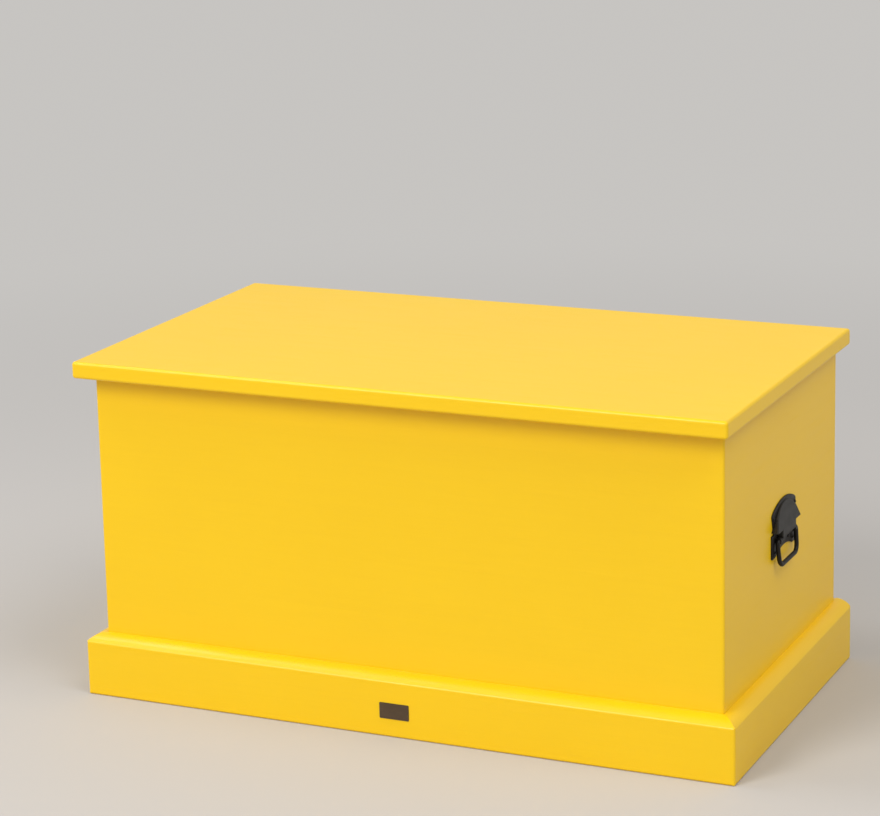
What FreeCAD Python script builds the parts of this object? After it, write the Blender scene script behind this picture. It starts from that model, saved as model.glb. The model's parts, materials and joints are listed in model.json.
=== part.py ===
import FreeCAD
import Part
import math
import os

# A painted solid-wood storage chest. Millimetres, +Z up, front towards -Y.
# The origin is on the floor, under the middle of the lid.

# Carcass
body_width = 966.0
body_depth = 518.0
body_top = 487.5
body_bottom = 4.0
panel_thickness = 20.0
body_edge_radius = 4.0
joint_dowel_radius = 4.0
joint_dowel_length = 36.0
joint_dowel_in_front = 12.0
joint_dowel_end_gap = 1.0
joint_dowel_margin = 40.0
joint_dowel_count = 5

# Bottom board and the ledgers that carry it
bottom_level = 60.0
bottom_thickness = 12.0
bottom_edge_gap = 0.5
ledger_width = 20.0
ledger_height = 22.0
ledger_screw_length = 32.0
ledger_screw_margin = 60.0
ledger_long_screw_count = 4
ledger_short_screw_count = 2

# Plinth boards, mitred at the front corners, with a moulded top edge
plinth_height = 93.0
plinth_moulding_height = 11.0
plinth_thickness = 23.0
plinth_back_thickness = 11.0
plinth_edge_radius = 3.5
plinth_arris_radius = 4.0
plinth_screw_height = 22.0
plinth_screw_length = 34.0
plinth_back_screw_length = 27.0
plinth_screw_margin = 80.0
plinth_long_screw_count = 4
plinth_short_screw_count = 2

# Plain label plate on the plinth, held by two pins
label_width = 45.6
label_height = 23.5
label_thickness = 1.0
label_centre_height = 39.5
label_shift = -2.0
label_corner_radius = 1.5
label_pin_inset = 3.5
label_pin_head_radius = 1.3
label_pin_head_height = 0.6
label_pin_radius = 0.7
label_pin_length = 9.0
label_pin_tip = 1.5

# Lid, its battens and its bumpers
lid_thickness = 25.0
lid_front_overhang = 37.0
lid_side_overhang = 17.0
lid_back_overhang = 15.0
lid_edge_radius = 4.5
lid_gap = 1.5
batten_width = 70.0
batten_thickness = 20.0
batten_end_gap = 14.0
batten_place_share = 0.69
batten_edge_radius = 2.0
batten_screw_length = 36.0
batten_screw_margin = 45.0
batten_screw_count = 4
bumper_radius = 5.0
bumper_back_distance = 60.0

# Wood screws with countersunk heads, for the ledgers, plinth and battens
screw_head_radius = 3.5
screw_shank_radius = 1.75
screw_tip = 3.0
screw_clearance = 0.1

# Butt hinges under the back of the lid
hinge_place_share = 0.71
hinge_length = 76.0
hinge_leaf_width = 18.0
hinge_leaf_thickness = 2.0
hinge_leaf_gap = 0.3
hinge_leaf_side_gap = 0.25
hinge_knuckle_radius = 4.2
hinge_knuckle_clearance = 0.3
hinge_groove_clearance = 0.6
hinge_groove_end_clearance = 3.0
hinge_knuckle_count = 5
hinge_pin_radius = 2.0
hinge_pin_clearance = 0.05
hinge_pin_head_radius = 3.2
hinge_pin_head_length = 1.5
hinge_screw_count = 3
hinge_screw_spacing = 25.0
hinge_screw_inset = 9.0
hinge_screw_head_radius = 3.0
hinge_screw_shank_radius = 1.5
hinge_screw_length = 18.0
hinge_screw_tip = 2.5

# Slotted lid stay at the left: both its pivots are as far from the hinge axis
stay_reach = 180.0
stay_stud_degrees = 30.0
stay_open_degrees = 95.0
stay_pivot_drop = 15.0
stay_standoff = 7.0
stay_arm_width = 16.0
stay_arm_thickness = 2.5
stay_slot_clearance = 0.3
stay_slot_end_gap = 0.6
stay_side_gap = 0.3
stay_stud_radius = 3.0
stay_stud_head_radius = 6.0
stay_stud_head_thickness = 1.5
stay_plate_thickness = 2.0
stay_plate_width = 22.0
stay_plate_height = 44.0
stay_plate_corner_radius = 3.0
stay_rivet_radius = 2.5
stay_rivet_clearance = 0.05
stay_rivet_head_radius = 5.0
stay_rivet_head_thickness = 1.5
stay_flange_width = 20.0
stay_foot_width = 22.0
stay_foot_length = 46.0
stay_foot_thickness = 2.0
stay_screw_head_radius = 3.0
stay_screw_shank_radius = 1.5
stay_screw_length = 15.0
stay_screw_tip = 2.5
stay_screw_inset = 6.0

# Side handles: a cast plate with a hood, two lugs and a hanging bail.
# Heights are measured up from the axis that the bail swings on.
# Widths are shares of the plate's width.
handle_drop = 17.5
handle_plate_thickness = 2.0
handle_plate_width = 112.0
handle_plate_below = 24.0
handle_plate_above = 11.0
handle_plate_edge_radius = 0.8
foot_corner_radius = 3.5
foot_arch_share = 0.70
foot_arch_height = 8.5
fan_waist_share = 0.83
fan_flare_share = 0.98
fan_flare_height = 40.0
fan_shoulder_share = 0.855
fan_shoulder_height = 44.5
fan_top_height = 54.5
fan_corner_radius = 4.0
hood_bottom_share = 0.945
hood_top_share = 0.753
hood_bottom_height = 15.0
hood_side_height = 33.0
hood_top_height = 49.7
hood_depth = 10.5
hood_top_depth = 3.5
hood_edge_radius = 2.0
hood_wall = 2.5
hood_corner_radius = 1.5
skirt_bottom_height = 2.8
rest_pad_height = 1.4
rest_pad_length = 9.0
rest_pad_above_edge = 8.0
lug_width = 7.5
lug_radius = 4.5
lug_side_gap = 0.2
bail_axis_offset = 5.7
bail_rod_radius = 3.3
bail_pin_clearance = 0.05
bail_pin_end_gap = 0.5
bail_top_share = 0.77
bail_bottom_share = 0.71
bail_drop = 35.8
bail_bow = 3.0
bail_top_bend = 4.5
bail_bottom_bend = 13.0
handle_screw_head_radius = 2.8
handle_screw_head_height = 2.0
handle_screw_shank_radius = 1.5
handle_screw_length = 16.0
handle_screw_tip = 2.5
handle_low_screw_share = 0.325
handle_low_screw_depth = 8.0
handle_high_screw_share = 0.88
handle_high_screw_height = 34.5

# Every cut runs this far past the face that it starts from
overrun = 1.0

# Two directions or places closer than this count as the same
tolerance = 0.001

# Places that follow from the sizes above
side = body_width / 2
lid_depth = lid_front_overhang + body_depth + lid_back_overhang
body_front = lid_front_overhang - lid_depth / 2
body_back = body_front + body_depth
body_middle = (body_front + body_back) / 2
inner_side = side - panel_thickness
inner_front = body_front + panel_thickness
inner_back = body_back - panel_thickness
lid_bottom = body_top + lid_gap
lid_top = lid_bottom + lid_thickness
plinth_side = side + plinth_thickness
plinth_front = body_front - plinth_thickness
plinth_back = body_back + plinth_back_thickness
hinge_y = body_back + hinge_knuckle_radius + hinge_knuckle_clearance
hinge_z = body_top + lid_gap / 2
hinge_reach = hinge_place_share * inner_side
batten_reach = batten_place_share * inner_side
handle_height = (plinth_height + lid_bottom) / 2 - handle_drop
plate_half = handle_plate_width / 2
bail_top_half = bail_top_share * plate_half
bail_bottom_half = bail_bottom_share * plate_half

X = FreeCAD.Vector(1, 0, 0)
Y = FreeCAD.Vector(0, 1, 0)
Z = FreeCAD.Vector(0, 0, 1)
ORIGIN = FreeCAD.Vector(0, 0, 0)


def at(x, y, z):
    return FreeCAD.Vector(x, y, z)


def block(x_range, y_range, z_range):
    size = [high - low for low, high in (x_range, y_range, z_range)]
    return Part.makeBox(size[0], size[1], size[2], at(x_range[0], y_range[0], z_range[0]))


def cylinder(radius, start, end):
    along = end - start
    return Part.makeCylinder(radius, along.Length, start, along)


def plate_outline(edges_or_points, thickness_vector):
    """A flat closed outline, pushed along a vector to make a solid."""
    if isinstance(edges_or_points[0], FreeCAD.Vector):
        wire = Part.makePolygon(edges_or_points + [edges_or_points[0]])
    else:
        wire = Part.Wire([edge.toShape() for edge in edges_or_points])
    return Part.Face(wire).extrude(thickness_vector)


def turned(points):
    """A solid turned about Z from (radius, height) points."""
    outline = Part.makePolygon([at(radius, 0, height) for radius, height in points + [points[0]]])
    return Part.Face(outline).revolve(ORIGIN, Z, 360)


def aimed(shape, place, direction):
    """Turns a shape that points down to point along a direction, and puts it in its place."""
    moved = shape.copy()
    moved.Placement = FreeCAD.Placement(place, FreeCAD.Rotation(Z.negative(), direction))
    return moved


def cut_all(shape, tools):
    return shape.cut(Part.makeCompound(tools)) if tools else shape


def spread(low, high, count):
    """Evenly spaced places, with the first and last at the ends."""
    return [low + (high - low) * number / (count - 1) for number in range(count)]


def eased(shape, radius, choose):
    """Rounds the edges that the test picks."""
    return shape.makeFillet(radius, [edge for edge in shape.Edges if choose(edge)])


def runs_along(edge, axis):
    start = edge.Vertexes[0].Point
    end = edge.Vertexes[-1].Point
    along = end - start
    return along.Length > 0 and along.normalize().cross(axis).Length < tolerance


def countersunk(head_radius, shank_radius, length, tip):
    neck = head_radius - shank_radius
    return turned([
        (0, 0), (head_radius, 0), (shank_radius, -neck), (shank_radius, tip - length), (0, -length)])


def countersunk_hole(head_radius, shank_radius, length, tip, clearance):
    head = head_radius + clearance
    shank = shank_radius + clearance
    return turned([
        (0, overrun), (head, overrun), (head, 0), (shank, shank - head),
        (shank, tip - length - clearance), (0, -length - clearance)])


def wood_screws(places, direction, length):
    screw = countersunk(screw_head_radius, screw_shank_radius, length, screw_tip)
    return [aimed(screw, place, direction) for place in places]


def wood_screw_holes(places, direction, length):
    hole = countersunk_hole(screw_head_radius, screw_shank_radius, length, screw_tip, screw_clearance)
    return [aimed(hole, place, direction) for place in places]


def is_side_edge(edge, corners):
    """True for an upright edge that stands at one of the (x, y) corners."""
    place = edge.Vertexes[0].Point
    return runs_along(edge, Z) and any(
        abs(place.x - x) < tolerance and abs(place.y - y) < tolerance for x, y in corners)


# Dowels of the four carcass corners

def dowel_rows():
    """Each dowel's outer end and inner end, at the four corners."""
    rows = []
    for x in (-side + panel_thickness / 2, side - panel_thickness / 2):
        for face, inwards in ((inner_front, 1), (inner_back, -1)):
            low = body_bottom + joint_dowel_margin
            high = body_top - joint_dowel_margin
            for z in spread(low, high, joint_dowel_count):
                outer = at(x, face - inwards * joint_dowel_in_front, z)
                inner = at(x, face + inwards * (joint_dowel_length - joint_dowel_in_front), z)
                rows.append((outer, inner))
    return rows


def corner_dowels():
    return [cylinder(joint_dowel_radius, outer, inner) for outer, inner in dowel_rows()]


def dowel_holes():
    holes = []
    for outer, inner in dowel_rows():
        gap = (inner - outer).normalize() * joint_dowel_end_gap
        holes.append(cylinder(joint_dowel_radius + screw_clearance, outer - gap, inner + gap))
    return holes


# Places of the screws in the ledgers and the plinth

def long_places(y, z, margin, count):
    return [at(x, y, z) for x in spread(margin - inner_side, inner_side - margin, count)]


def short_places(x, z, margin, count):
    return [at(x, y, z) for y in spread(inner_front + margin, inner_back - margin, count)]


def ledger_screw_sets():
    """Each ledger's name, its screw places and the way that the screws point."""
    z = bottom_level - ledger_height / 2
    long_row = (z, ledger_screw_margin, ledger_long_screw_count)
    short_row = (z, ledger_screw_margin, ledger_short_screw_count)
    return {
        "front": (long_places(inner_front + ledger_width, *long_row), Y.negative()),
        "back": (long_places(inner_back - ledger_width, *long_row), Y),
        "left": (short_places(ledger_width - inner_side, *short_row), X.negative()),
        "right": (short_places(inner_side - ledger_width, *short_row), X)}


def plinth_screw_sets():
    long_row = (plinth_screw_height, plinth_screw_margin, plinth_long_screw_count)
    short_row = (plinth_screw_height, plinth_screw_margin, plinth_short_screw_count)
    return {
        "front": (long_places(inner_front, *long_row), Y.negative(), plinth_screw_length),
        "back": (long_places(inner_back, *long_row), Y, plinth_back_screw_length),
        "left": (short_places(-inner_side, *short_row), X.negative(), plinth_screw_length),
        "right": (short_places(inner_side, *short_row), X, plinth_screw_length)}


def ledger_screws():
    return [screw for places, way in ledger_screw_sets().values()
            for screw in wood_screws(places, way, ledger_screw_length)]


def plinth_screws():
    return [screw for places, way, length in plinth_screw_sets().values()
            for screw in wood_screws(places, way, length)]


def side_screw_holes(name):
    """The holes that the ledger screws and plinth screws need on one side of the chest."""
    places, way = ledger_screw_sets()[name]
    holes = wood_screw_holes(places, way, ledger_screw_length)
    places, way, length = plinth_screw_sets()[name]
    return holes + wood_screw_holes(places, way, length)


# Carcass panels

def long_panel(name, y_range, outer_y):
    """The front or back panel, which covers the ends of the side panels."""
    panel = block((-side, side), y_range, (body_bottom, body_top))
    corners = [(-side, outer_y), (side, outer_y)]
    panel = eased(panel, body_edge_radius, lambda edge: is_side_edge(edge, corners))
    return cut_all(panel, dowel_holes() + side_screw_holes(name))


def front_panel():
    return long_panel("front", (body_front, inner_front), body_front)


def back_panel():
    panel = long_panel("back", (inner_back, body_back), body_back)
    recesses = [hinge_body_recess(x) for x in hinge_places()]
    return cut_all(panel, recesses + hinge_screw_holes(-1))


def side_panel(name, x_range):
    panel = block(x_range, (inner_front, inner_back), (body_bottom, body_top))
    return cut_all(panel, dowel_holes() + side_screw_holes(name))


def left_panel():
    panel = side_panel("left", (-side, -inner_side))
    holes = [mirrored(hole) for hole in handle_screw_holes()] + stay_plate_screw_holes()
    return cut_all(panel, holes)


def right_panel():
    return cut_all(side_panel("right", (inner_side, side)), handle_screw_holes())


def bottom_panel():
    gap = bottom_edge_gap
    return block(
        (gap - inner_side, inner_side - gap), (inner_front + gap, inner_back - gap),
        (bottom_level, bottom_level + bottom_thickness))


def ledger(name):
    z_range = (bottom_level - ledger_height, bottom_level)
    short = (inner_front + ledger_width, inner_back - ledger_width)
    shapes = {
        "front": ((-inner_side, inner_side), (inner_front, inner_front + ledger_width)),
        "back": ((-inner_side, inner_side), (inner_back - ledger_width, inner_back)),
        "left": ((-inner_side, ledger_width - inner_side), short),
        "right": ((inner_side - ledger_width, inner_side), short)}
    x_range, y_range = shapes[name]
    places, way = ledger_screw_sets()[name]
    return cut_all(block(x_range, y_range, z_range), wood_screw_holes(places, way, ledger_screw_length))


# Plinth

def plinth_profile(outwards, inner_face):
    """The board's section: flat face, eased foot and a convex moulding on top.

    The moulding is an arc that leaves the body level, and a smaller arc leads it into the face.
    """
    large = (plinth_thickness ** 2 + plinth_moulding_height ** 2) / (2 * plinth_moulding_height)
    small = plinth_arris_radius
    turn = math.asin((plinth_thickness - small) / (large - small))
    arris_height = plinth_height - large + (large - small) * math.cos(turn)
    foot = plinth_edge_radius
    quarter = math.pi / 2

    def point(out, height):
        return inner_face + outwards * out + at(0, 0, height)

    def arc(out, height, radius, first, last):
        angles = (first, (first + last) / 2, last)
        return Part.Arc(*[
            point(out + radius * math.sin(angle), height + radius * math.cos(angle)) for angle in angles])

    return [
        Part.LineSegment(point(0, 0), point(0, plinth_height)),
        arc(0, plinth_height - large, large, 0, turn),
        arc(plinth_thickness - small, arris_height, small, turn, quarter),
        Part.LineSegment(point(plinth_thickness, arris_height), point(plinth_thickness, foot)),
        arc(plinth_thickness - foot, foot, foot, quarter, 2 * quarter),
        Part.LineSegment(point(plinth_thickness - foot, 0), point(0, 0))]


def corner_rounding(x, y, inwards):
    """Takes a sharp upright corner down to the plinth's edge radius."""
    r = plinth_edge_radius
    dx, dy = inwards
    x_range = sorted((x - dx * overrun, x + dx * r))
    y_range = sorted((y - dy * overrun, y + dy * r))
    z_range = (-overrun, plinth_height + overrun)
    middle = at(x + dx * r, y + dy * r, z_range[0])
    return block(x_range, y_range, z_range).cut(cylinder(r, middle, at(middle.x, middle.y, z_range[1])))


def plinth_front_board():
    board = plate_outline(
        plinth_profile(Y.negative(), at(-plinth_side, body_front, 0)), X * (2 * plinth_side))
    plan = [
        at(-plinth_side, plinth_front, 0), at(plinth_side, plinth_front, 0),
        at(side, body_front, 0), at(-side, body_front, 0)]
    board = board.common(plate_outline(plan, Z * plinth_height))
    places, way, length = plinth_screw_sets()["front"]
    tools = wood_screw_holes(places, way, length) + label_pin_holes()
    tools.append(corner_rounding(-plinth_side, plinth_front, (1, 1)))
    tools.append(corner_rounding(plinth_side, plinth_front, (-1, 1)))
    return cut_all(board, tools)


def plinth_side_board(name, way_out):
    inner = way_out * side
    outer = way_out * plinth_side
    length = plinth_back - plinth_front
    board = plate_outline(plinth_profile(X * way_out, at(inner, plinth_front, 0)), Y * length)
    plan = [
        at(outer, plinth_front, 0), at(inner, body_front, 0),
        at(inner, plinth_back, 0), at(outer, plinth_back, 0)]
    board = board.common(plate_outline(plan, Z * plinth_height))
    places, way, screw_length = plinth_screw_sets()[name]
    tools = wood_screw_holes(places, way, screw_length)
    tools.append(corner_rounding(outer, plinth_front, (-way_out, 1)))
    tools.append(corner_rounding(outer, plinth_back, (-way_out, -1)))
    return cut_all(board, tools)


def plinth_back_board():
    board = block((-side, side), (body_back, plinth_back), (0, plinth_height))
    board = eased(
        board, plinth_edge_radius,
        lambda edge: runs_along(edge, X) and edge.CenterOfMass.y > body_back + plinth_back_thickness / 2)
    places, way, length = plinth_screw_sets()["back"]
    return cut_all(board, wood_screw_holes(places, way, length))


# Label plate

def label_pin_places():
    reach = label_width / 2 - label_pin_inset
    y = plinth_front - label_thickness
    return [at(label_shift + way * reach, y, label_centre_height) for way in (-1, 1)]


def label_pin():
    radius = label_pin_radius
    head = label_pin_head_radius
    height = label_pin_head_height
    return turned([
        (0, height), (head / 2, height), (head, height / 2), (head, 0), (radius, 0),
        (radius, label_pin_tip - label_pin_length), (0, -label_pin_length)])


def label_pins():
    return [aimed(label_pin(), place, Y) for place in label_pin_places()]


def label_pin_holes():
    holes = []
    for place in label_pin_places():
        start = place - Y * overrun
        holes.append(cylinder(label_pin_radius + screw_clearance, start, place + Y * label_pin_length))
    return holes


def label_plate():
    plate = block(
        (label_shift - label_width / 2, label_shift + label_width / 2),
        (plinth_front - label_thickness, plinth_front),
        (label_centre_height - label_height / 2, label_centre_height + label_height / 2))
    plate = eased(plate, label_corner_radius, lambda edge: runs_along(edge, Y))
    return cut_all(plate, label_pin_holes())


# Lid

def batten_places():
    return [-batten_reach, 0, batten_reach]


def batten_screw_places(x):
    low = inner_front + batten_end_gap + batten_screw_margin
    high = inner_back - batten_end_gap - batten_screw_margin
    return [at(x, y, lid_bottom - batten_thickness) for y in spread(low, high, batten_screw_count)]


def batten_screw_holes(x):
    return wood_screw_holes(batten_screw_places(x), Z, batten_screw_length)


def lid_panel():
    half_width = side + lid_side_overhang
    panel = block((-half_width, half_width), (-lid_depth / 2, lid_depth / 2), (lid_bottom, lid_top))
    panel = panel.makeFillet(lid_edge_radius, panel.Edges)
    tools = [hole for x in batten_places() for hole in batten_screw_holes(x)]
    tools += [hinge_lid_recess(x) for x in hinge_places()]
    tools += hinge_screw_holes(1) + stay_foot_screw_holes()
    return cut_all(panel, tools)


def lid_batten(x):
    batten = block(
        (x - batten_width / 2, x + batten_width / 2),
        (inner_front + batten_end_gap, inner_back - batten_end_gap),
        (lid_bottom - batten_thickness, lid_bottom))
    middle_height = lid_bottom - batten_thickness / 2
    batten = eased(
        batten, batten_edge_radius,
        lambda edge: edge.CenterOfMass.z < middle_height - batten_edge_radius or runs_along(edge, Z))
    return cut_all(batten, batten_screw_holes(x))


def batten_screws():
    return [screw for x in batten_places()
            for screw in wood_screws(batten_screw_places(x), Z, batten_screw_length)]


def lid_bumpers():
    reach = side - panel_thickness / 2
    places = [(way * reach, y) for way in (-1, 1)
              for y in (body_front + panel_thickness / 2, inner_back - bumper_back_distance)]
    return [cylinder(bumper_radius, at(x, y, body_top), at(x, y, lid_bottom)) for x, y in places]


# Hinges: way is -1 for the body's leaf, below the axis, and 1 for the lid's leaf, above it

def hinge_places():
    return [-hinge_reach, hinge_reach]


def leaf_heights(way):
    near = hinge_z + way * hinge_leaf_gap / 2
    return sorted((near, near + way * hinge_leaf_thickness))


def knuckle_ranges(x, way):
    """The stretches of the axis that belong to one leaf: the body's leaf has the end ones."""
    step = hinge_length / hinge_knuckle_count
    first = 0 if way < 0 else 1
    start = x - hinge_length / 2
    return [(start + number * step, start + (number + 1) * step)
            for number in range(first, hinge_knuckle_count, 2)]


def hinge_screw_places(x, way):
    z = hinge_z + way * hinge_leaf_gap / 2
    half = (hinge_screw_count - 1) * hinge_screw_spacing / 2
    y = body_back - hinge_screw_inset
    return [at(x + shift, y, z) for shift in spread(-half, half, hinge_screw_count)]


def hinge_screws(way):
    screw = countersunk(
        hinge_screw_head_radius, hinge_screw_shank_radius, hinge_screw_length, hinge_screw_tip)
    return [aimed(screw, place, Z * way) for x in hinge_places() for place in hinge_screw_places(x, way)]


def hinge_screw_holes(way):
    hole = countersunk_hole(
        hinge_screw_head_radius, hinge_screw_shank_radius, hinge_screw_length, hinge_screw_tip,
        screw_clearance)
    return [aimed(hole, place, Z * way) for x in hinge_places() for place in hinge_screw_places(x, way)]


def hinge_leaf(x, way):
    half = hinge_length / 2
    gap = hinge_knuckle_clearance / 2
    heights = leaf_heights(way)
    leaf = block((x - half, x + half), (body_back - hinge_leaf_width, hinge_y), heights)
    clear_y = hinge_y - hinge_knuckle_radius - hinge_knuckle_clearance
    past = (heights[0] - overrun, heights[1] + overrun)
    notches = [block((low - gap, high + gap), (clear_y, hinge_y + overrun), past)
               for low, high in knuckle_ranges(x, -way)]
    leaf = leaf.cut(Part.makeCompound(notches))
    barrels = [cylinder(hinge_knuckle_radius, at(max(low + gap, x - half), hinge_y, hinge_z),
                        at(min(high - gap, x + half), hinge_y, hinge_z))
               for low, high in knuckle_ranges(x, way)]
    leaf = leaf.fuse(barrels).removeSplitter()
    bore = hinge_pin_radius + hinge_pin_clearance
    bore = cylinder(bore, at(x - half - overrun, hinge_y, hinge_z), at(x + half + overrun, hinge_y, hinge_z))
    hole = countersunk_hole(
        hinge_screw_head_radius, hinge_screw_shank_radius, hinge_screw_length, hinge_screw_tip,
        screw_clearance)
    holes = [aimed(hole, place, Z * way) for place in hinge_screw_places(x, way)]
    return leaf.cut(Part.makeCompound([bore] + holes))


def hinge_pin(x):
    half = hinge_length / 2
    pin = cylinder(hinge_pin_radius, at(x - half, hinge_y, hinge_z), at(x + half, hinge_y, hinge_z))
    heads = [cylinder(hinge_pin_head_radius, at(x + way * half, hinge_y, hinge_z),
                      at(x + way * (half + hinge_pin_head_length), hinge_y, hinge_z)) for way in (-1, 1)]
    return pin.fuse(heads).removeSplitter()


def hinge_body_recess(x):
    half = hinge_length / 2 + hinge_leaf_side_gap
    low = leaf_heights(-1)[0]
    return block(
        (x - half, x + half), (body_back - hinge_leaf_width - hinge_leaf_side_gap, body_back + overrun),
        (low, body_top + overrun))


def hinge_lid_recess(x):
    """The seat of the lid's leaf, and the round groove that the knuckles turn in."""
    half = hinge_length / 2 + hinge_leaf_side_gap
    high = leaf_heights(1)[1]
    seat = block(
        (x - half, x + half), (body_back - hinge_leaf_width - hinge_leaf_side_gap, hinge_y),
        (lid_bottom - overrun, high))
    reach = hinge_length / 2 + hinge_groove_end_clearance
    groove = cylinder(
        hinge_knuckle_radius + hinge_groove_clearance,
        at(x - reach, hinge_y, hinge_z), at(x + reach, hinge_y, hinge_z))
    return seat.fuse(groove)


# Lid stay: an arm that hangs from the lid and slides on a stud at the left side panel

stay_x = stay_standoff - inner_side
stay_lid_angle = math.asin((hinge_z - lid_bottom + stay_pivot_drop) / stay_reach)
stay_body_angle = math.radians(stay_stud_degrees)
stay_lid_pivot = at(
    stay_x, hinge_y - stay_reach * math.cos(stay_lid_angle), hinge_z - stay_reach * math.sin(stay_lid_angle))
stay_stud_place = at(
    stay_x,
    hinge_y - stay_reach * math.cos(stay_body_angle),
    hinge_z - stay_reach * math.sin(stay_body_angle))
stay_closed_span = 2 * stay_reach * math.sin((stay_body_angle - stay_lid_angle) / 2)
stay_open_turn = stay_body_angle - stay_lid_angle + math.radians(stay_open_degrees)
stay_open_span = 2 * stay_reach * math.sin(stay_open_turn / 2)
stay_flange_x = stay_x + stay_arm_thickness + stay_side_gap


def strip(width, thickness, start, end):
    """A flat strip with round ends, lying in a plane across X."""
    along = (end - start).normalize()
    across = X.cross(along) * (width / 2)
    body = plate_outline([start + across, end + across, end - across, start - across], X * thickness)
    ends = [cylinder(width / 2, place, place + X * thickness) for place in (start, end)]
    return body.fuse(ends).removeSplitter()


def stay_arm():
    start = stay_lid_pivot
    along = (stay_stud_place - start).normalize()
    reach = stay_open_span + stay_slot_end_gap
    arm = strip(stay_arm_width, stay_arm_thickness, start, start + along * reach)
    slot_width = 2 * (stay_stud_radius + stay_slot_clearance)
    past = X * overrun
    slot = strip(
        slot_width, stay_arm_thickness + 2 * overrun,
        start + along * (stay_closed_span - stay_slot_end_gap) - past, start + along * reach - past)
    hole = cylinder(
        stay_rivet_radius + stay_rivet_clearance, start - past, start + past + X * stay_arm_thickness)
    return arm.cut(Part.makeCompound([slot, hole]))


def stay_plate_screw_places():
    reach = stay_plate_height / 2 - stay_screw_inset
    x = stay_plate_thickness - inner_side
    return [at(x, stay_stud_place.y, stay_stud_place.z + way * reach) for way in (-1, 1)]


def stay_screws_at(places, direction):
    screw = countersunk(stay_screw_head_radius, stay_screw_shank_radius, stay_screw_length, stay_screw_tip)
    return [aimed(screw, place, direction) for place in places]


def stay_screw_holes_at(places, direction):
    hole = countersunk_hole(
        stay_screw_head_radius, stay_screw_shank_radius, stay_screw_length, stay_screw_tip, screw_clearance)
    return [aimed(hole, place, direction) for place in places]


def stay_plate_screw_holes():
    return stay_screw_holes_at(stay_plate_screw_places(), X.negative())


def stay_plate():
    y, z = stay_stud_place.y, stay_stud_place.z
    plate = block(
        (-inner_side, stay_plate_thickness - inner_side),
        (y - stay_plate_width / 2, y + stay_plate_width / 2),
        (z - stay_plate_height / 2, z + stay_plate_height / 2))
    plate = eased(plate, stay_plate_corner_radius, lambda edge: runs_along(edge, X))
    return cut_all(plate, stay_plate_screw_holes())


def stay_stud():
    """A shouldered stud that stands on the plate and keeps the arm on with its head."""
    start = at(stay_plate_thickness - inner_side, stay_stud_place.y, stay_stud_place.z)
    head_start = at(stay_flange_x, start.y, start.z)
    head = cylinder(stay_stud_head_radius, head_start, head_start + X * stay_stud_head_thickness)
    return cylinder(stay_stud_radius, start, head_start).fuse(head).removeSplitter()


def stay_foot_screw_places():
    reach = stay_foot_length / 2 - stay_screw_inset
    x = stay_flange_x + (stay_foot_width + stay_foot_thickness) / 2
    return [at(x, stay_lid_pivot.y + way * reach, lid_bottom - stay_foot_thickness) for way in (-1, 1)]


def stay_foot_screw_holes():
    return stay_screw_holes_at(stay_foot_screw_places(), Z)


def stay_bracket():
    """An angle under the lid: its foot is screwed up and its flange carries the rivet."""
    y = stay_lid_pivot.y
    foot = block(
        (stay_flange_x, stay_flange_x + stay_foot_width),
        (y - stay_foot_length / 2, y + stay_foot_length / 2), (lid_bottom - stay_foot_thickness, lid_bottom))
    half = stay_flange_width / 2
    flange = block((stay_flange_x, stay_flange_x + stay_foot_thickness), (y - half, y + half),
                   (stay_lid_pivot.z, lid_bottom))
    low = at(stay_flange_x, y, stay_lid_pivot.z)
    tip = cylinder(half, low, low + X * stay_foot_thickness)
    bracket = foot.fuse([flange, tip]).removeSplitter()
    rivet_hole = cylinder(
        stay_rivet_radius + stay_rivet_clearance,
        low - X * overrun, low + X * (stay_foot_thickness + overrun))
    return bracket.cut(Part.makeCompound([rivet_hole] + stay_foot_screw_holes()))


def stay_rivet():
    """The rivet is fixed in the bracket, and the arm turns on it."""
    start = at(stay_x - stay_side_gap, stay_lid_pivot.y, stay_lid_pivot.z)
    end = at(stay_flange_x + stay_foot_thickness, start.y, start.z)
    heads = [cylinder(stay_rivet_head_radius, start - X * stay_rivet_head_thickness, start),
             cylinder(stay_rivet_head_radius, end, end + X * stay_rivet_head_thickness)]
    return cylinder(stay_rivet_radius, start, end).fuse(heads).removeSplitter()


# Handles, built for the right side with the bail's axis at the origin of their own frame

def placed_handle(shape):
    moved = shape.copy()
    moved.translate(at(side, body_middle, handle_height))
    return moved


def mirrored(shape):
    return shape.mirror(ORIGIN, X)


def fan_shape(half_points, top_height, depth, arch=None):
    """A symmetric solid on the wall: right-hand points from the bottom up, and an arc over the top.

    An arch is the (half width, height) of the arc that hollows the bottom edge.
    """
    right = [at(0, y, z) for y, z in half_points]
    left = [at(0, -point.y, point.z) for point in right[::-1]]
    edges = [Part.LineSegment(first, second) for run in (right, left) for first, second in zip(run, run[1:])]
    edges.append(Part.Arc(right[-1], at(0, 0, top_height), left[0]))
    if arch:
        z = right[0].z
        low = [at(0, -arch[0], z), at(0, 0, z + arch[1]), at(0, arch[0], z)]
        edges += [Part.LineSegment(left[-1], low[0]), Part.Arc(*low), Part.LineSegment(low[-1], right[0])]
    else:
        edges.append(Part.LineSegment(left[-1], right[0]))
    ordered = Part.__sortEdges__([edge.toShape() for edge in edges])
    return Part.Face(Part.Wire(ordered)).extrude(X * depth)


def bail_points():
    x = bail_axis_offset
    end = lug_face() - lug_width + bail_pin_end_gap
    half = [at(x, end, 0), at(x, bail_top_half, 0), at(x + bail_bow, bail_bottom_half, -bail_drop)]
    return [at(point.x, -point.y, point.z) for point in half] + half[::-1]


def bend_setback(before, corner, after, radius):
    """How far from a corner a bend of this radius starts."""
    turn = (corner - before).getAngle(after - corner)
    return radius * math.tan(turn / 2)


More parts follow.
